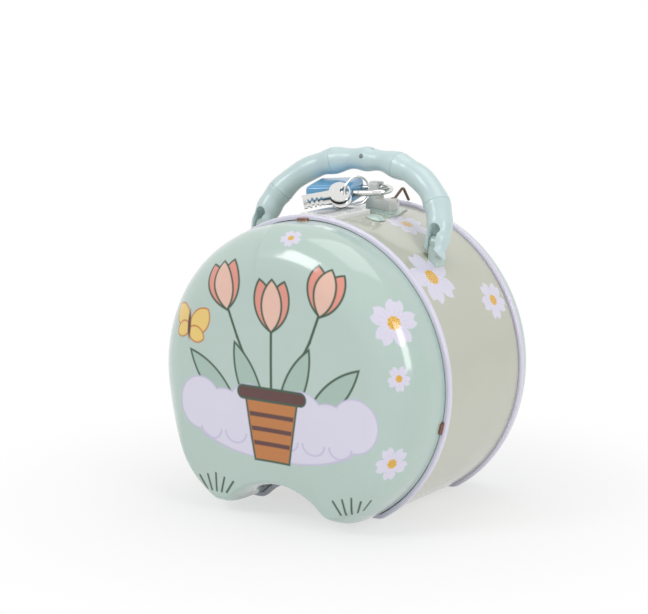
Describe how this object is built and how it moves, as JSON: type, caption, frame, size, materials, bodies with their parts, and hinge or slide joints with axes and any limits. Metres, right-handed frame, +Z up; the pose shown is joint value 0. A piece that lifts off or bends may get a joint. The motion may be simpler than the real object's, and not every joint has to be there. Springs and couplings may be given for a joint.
{
  "type": "tin money box",
  "caption": "Drum-shaped tin money box with domed front, hinged rear cover, coin slot, swing handle and a small padlock with keys on its post",
  "frame": {"origin": "middle of the bounding box, on the surface that the feet stand on", "axes": "+Z up, -Y out of the domed front, +X to the right seen from the front"},
  "size_m": [0.1536, 0.1204, 0.1713],
  "materials": {
    "mint_tin": "gloss printed enamel",
    "bare_tin": "plain tinplate",
    "copper_stakes": "dull copper colour",
    "white_plastic": "gloss",
    "nylon": "milky, slightly see-through",
    "mint_plastic": "gloss moulded",
    "blue_plastic": "gloss moulded",
    "bright_steel": "bright plated",
    "plain_steel": "plain",
    "brass_plug": "turned",
    "brown_wire": "dark brown coat"
  },
  "bodies": {
    "tin_body": {"drum_band": "mint_tin", "front_panel": "mint_tin", "panel_clips": "copper_stakes", "coin_slot_bezel": "white_plastic", "slot_rivets": "mint_tin", "lock_plate": "mint_tin", "backing_strip": "bare_tin", "plate_rivets": "mint_tin", "lock_post": "nylon", "hook_pin": "plain_steel", "neck_liner": "bare_tin", "hinge_pin": "plain_steel", "handle_ear_left": "mint_tin", "handle_ear_right": "mint_tin"},
    "cover": {"rear_cover": "mint_tin"},
    "handle": {"handle": "mint_plastic", "handle_pins": "plain_steel"},
    "hook": {"latch_hook": "brown_wire"},
    "shackle": {"padlock_shackle": "bright_steel"},
    "case": {"padlock_case": "blue_plastic", "lock_bolt": "plain_steel", "bolt_spring": "plain_steel"},
    "plug": {"lock_plug": "brass_plug"},
    "ring": {"key_ring": "bright_steel"},
    "key_front": {"key_front": "bright_steel"},
    "key_back": {"key_back": "bright_steel"}
  },
  "joints": [
    {"name": "handle_swing", "type": "hinge", "parent": "tin_body", "child": "handle", "pos_m": [0, 0.00324, 0.1308], "axis": [1, 0, 0], "range_deg": [0, 76]},
    {"name": "cover_swing", "type": "hinge", "parent": "tin_body", "child": "cover", "pos_m": [-0.0753, 0.04099, 0.0663], "axis": [0, 0, 1], "range_deg": [0, 110]},
    {"name": "hook_lift", "type": "hinge", "parent": "tin_body", "child": "hook", "pos_m": [0.01, 0.02884, 0.1445], "axis": [1, 0, 0], "range_deg": [0, 65]},
    {"name": "padlock_swing", "type": "hinge", "parent": "tin_body", "child": "shackle", "pos_m": [0.004, 0.02274, 0.1513], "axis": [-0.9679, -0.2413, -0.0698], "range_deg": [0, 12]},
    {"name": "case_slide", "type": "slide", "parent": "shackle", "child": "case", "axis": [-0.9679, -0.2413, -0.0698], "range_m": [0, 0.0024]},
    {"name": "plug_turn", "type": "hinge", "parent": "case", "child": "plug", "pos_m": [-0.0243, 0.00901, 0.14858], "axis": [0.9679, 0.2413, 0.0698], "range_deg": [0, 90]},
    {"name": "ring_swing", "type": "hinge", "parent": "shackle", "child": "ring", "pos_m": [0.00508, 0.00966, 0.15002], "axis": [0.9679, 0.2413, 0.0698], "range_deg": [0, 3]},
    {"name": "key_front_swing", "type": "hinge", "parent": "ring", "child": "key_front", "pos_m": [0.00068, 0.0009, 0.14844], "axis": [0.1968, 0.3915, -0.8989], "range_deg": [-2, 4]},
    {"name": "key_back_swing", "type": "hinge", "parent": "ring", "child": "key_back", "pos_m": [0.00037, 0.00029, 0.15165], "axis": [-0.0157, -0.0312, -0.9994], "range_deg": [-4, 4]}
  ]
}
